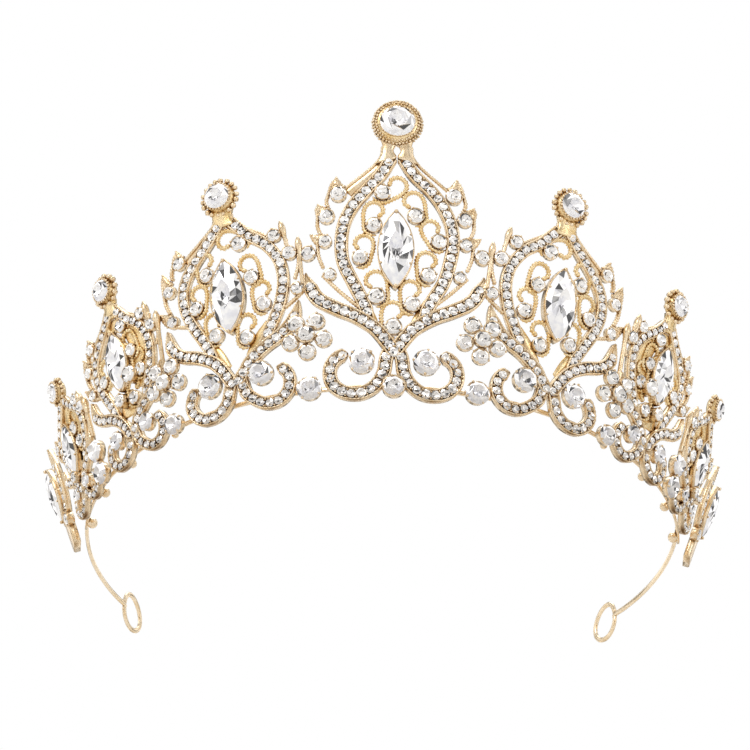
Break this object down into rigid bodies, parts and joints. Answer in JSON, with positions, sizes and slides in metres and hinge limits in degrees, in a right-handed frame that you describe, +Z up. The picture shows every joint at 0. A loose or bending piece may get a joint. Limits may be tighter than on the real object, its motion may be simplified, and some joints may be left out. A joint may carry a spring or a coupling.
{
  "type": "bridal tiara",
  "caption": "Crescent tiara: openwork palmette castings set with crystals on a strip band, with wire arms ending in oval loops.",
  "frame": {"origin": "middle of the bounding box, on the flat surface that the lowest volutes stand on", "axes": "+Z up, the tall centre palmette faces -Y, the band's open ends point to +Y, +X to the right seen from the front"},
  "size_m": [0.1724, 0.1358, 0.0744],
  "materials": {
    "cast_gold": "gold-plated cast alloy, polished, milgrain edges",
    "plain_gold": "gold-plated flat strip and wire, polished",
    "crystal": "clear foil-backed cut glass"
  },
  "bodies": {
    "root": {"arm_rivet_left": "plain_gold", "arm_rivet_right": "plain_gold", "base_stone": "crystal", "centre_finial_stone": "crystal", "centre_navette": "crystal", "centre_palmette": "cast_gold", "centre_volute_stone_a": "crystal", "centre_volute_stone_b": "crystal", "end_arm_left": "plain_gold", "end_arm_right": "plain_gold", "end_leaf_left": "cast_gold", "end_leaf_right": "cast_gold", "end_navette_left": "crystal", "end_navette_right": "crystal", "headband": "plain_gold", "inner_finial_stone_left": "crystal", "inner_finial_stone_right": "crystal", "inner_link_left": "cast_gold", "inner_link_right": "cast_gold", "inner_link_stone_left": "crystal", "inner_link_stone_right": "crystal", "inner_navette_left": "crystal", "inner_navette_right": "crystal", "inner_palmette_left": "cast_gold", "inner_palmette_right": "cast_gold", "inner_volute_stone_left_a": "crystal", "inner_volute_stone_left_b": "crystal", "inner_volute_stone_right_a": "crystal", "inner_volute_stone_right_b": "crystal", "outer_finial_stone_left": "crystal", "outer_finial_stone_right": "crystal", "outer_link_left": "cast_gold", "outer_link_right": "cast_gold", "outer_link_stone_left": "crystal", "outer_link_stone_right": "crystal", "outer_navette_left": "crystal", "outer_navette_right": "crystal", "outer_palmette_left": "cast_gold", "outer_palmette_right": "cast_gold", "outer_volute_stone_left_a": "crystal", "outer_volute_stone_left_b": "crystal", "outer_volute_stone_right_a": "crystal", "outer_volute_stone_right_b": "crystal", "side_finial_stone_left": "crystal", "side_finial_stone_right": "crystal", "side_link_left": "cast_gold", "side_link_right": "cast_gold", "side_link_stone_left": "crystal", "side_link_stone_right": "crystal", "side_link_upper_stone_left": "crystal", "side_link_upper_stone_right": "crystal", "side_navette_left": "crystal", "side_navette_right": "crystal", "side_palmette_left": "cast_gold", "side_palmette_right": "cast_gold", "side_volute_stone_left_a": "crystal", "side_volute_stone_left_b": "crystal", "side_volute_stone_right_a": "crystal", "side_volute_stone_right_b": "crystal"}
  },
  "joints": []
}
